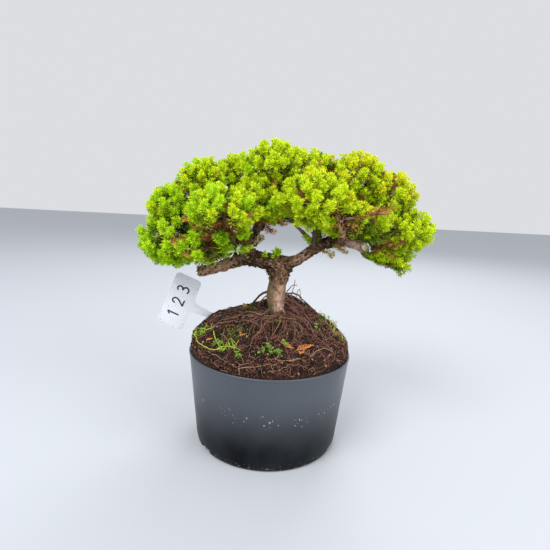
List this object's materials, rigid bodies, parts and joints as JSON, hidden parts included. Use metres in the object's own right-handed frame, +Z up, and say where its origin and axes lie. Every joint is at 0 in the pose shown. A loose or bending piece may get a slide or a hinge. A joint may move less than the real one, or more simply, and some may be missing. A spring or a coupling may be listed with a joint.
{
  "type": "juniper bonsai in a round plastic pot",
  "caption": "Small bonsai juniper with a thick forked trunk and a wide cushion crown of short needles, in a plain round tapered plastic pot with soil and a blank plant label.",
  "frame": {"origin": "middle of the flat underside of the pot", "axes": "+Z up, +X to the right and -Y towards the front of the plant"},
  "size_m": [0.3179, 0.1969, 0.3289],
  "materials": {
    "pot_plastic": "smooth moulded, slightly dusty",
    "soil": "loose dark peat",
    "label_plastic": "smooth white",
    "bark": "rough fissured",
    "root_bark": "rough",
    "foliage": "short stiff needles"
  },
  "bodies": {
    "root": {"arm_left": "bark", "arm_rear": "bark", "arm_right": "bark", "bough_left": "bark", "bough_right": "bark", "bough_right_outer": "bark", "bough_to_centre": "bark", "bough_to_crown_left": "bark", "bough_to_crown_right": "bark", "bough_to_crown_top": "bark", "bough_to_left_front": "bark", "bough_to_left_low": "bark", "bough_to_left_mid": "bark", "bough_to_left_top": "bark", "bough_to_left_under": "bark", "bough_to_rear_centre": "bark", "bough_to_rear_left": "bark", "bough_to_rear_right": "bark", "bough_to_right_front": "bark", "bough_to_right_low": "bark", "bough_to_right_mid": "bark", "bough_to_right_out": "bark", "bough_to_right_top": "bark", "bough_to_right_trail": "bark", "cross_branch": "bark", "foliage_centre": "foliage", "foliage_crown_left": "foliage", "foliage_crown_right": "foliage", "foliage_crown_top": "foliage", "foliage_left_front": "foliage", "foliage_left_low": "foliage", "foliage_left_mid": "foliage", "foliage_left_top": "foliage", "foliage_left_under": "foliage", "foliage_rear_centre": "foliage", "foliage_rear_left": "foliage", "foliage_rear_right": "foliage", "foliage_right_front": "foliage", "foliage_right_low": "foliage", "foliage_right_mid": "foliage", "foliage_right_out": "foliage", "foliage_right_top": "foliage", "foliage_right_trail": "foliage", "plant_label": "label_plastic", "pot": "pot_plastic", "riser_left": "bark", "riser_right": "bark", "soil": "soil", "stub_left": "bark", "stub_right": "bark", "surface_root_1": "root_bark", "surface_root_2": "root_bark", "surface_root_3": "root_bark", "surface_root_4": "root_bark", "surface_root_5": "root_bark", "surface_root_6": "root_bark", "trunk": "bark"}
  },
  "joints": []
}
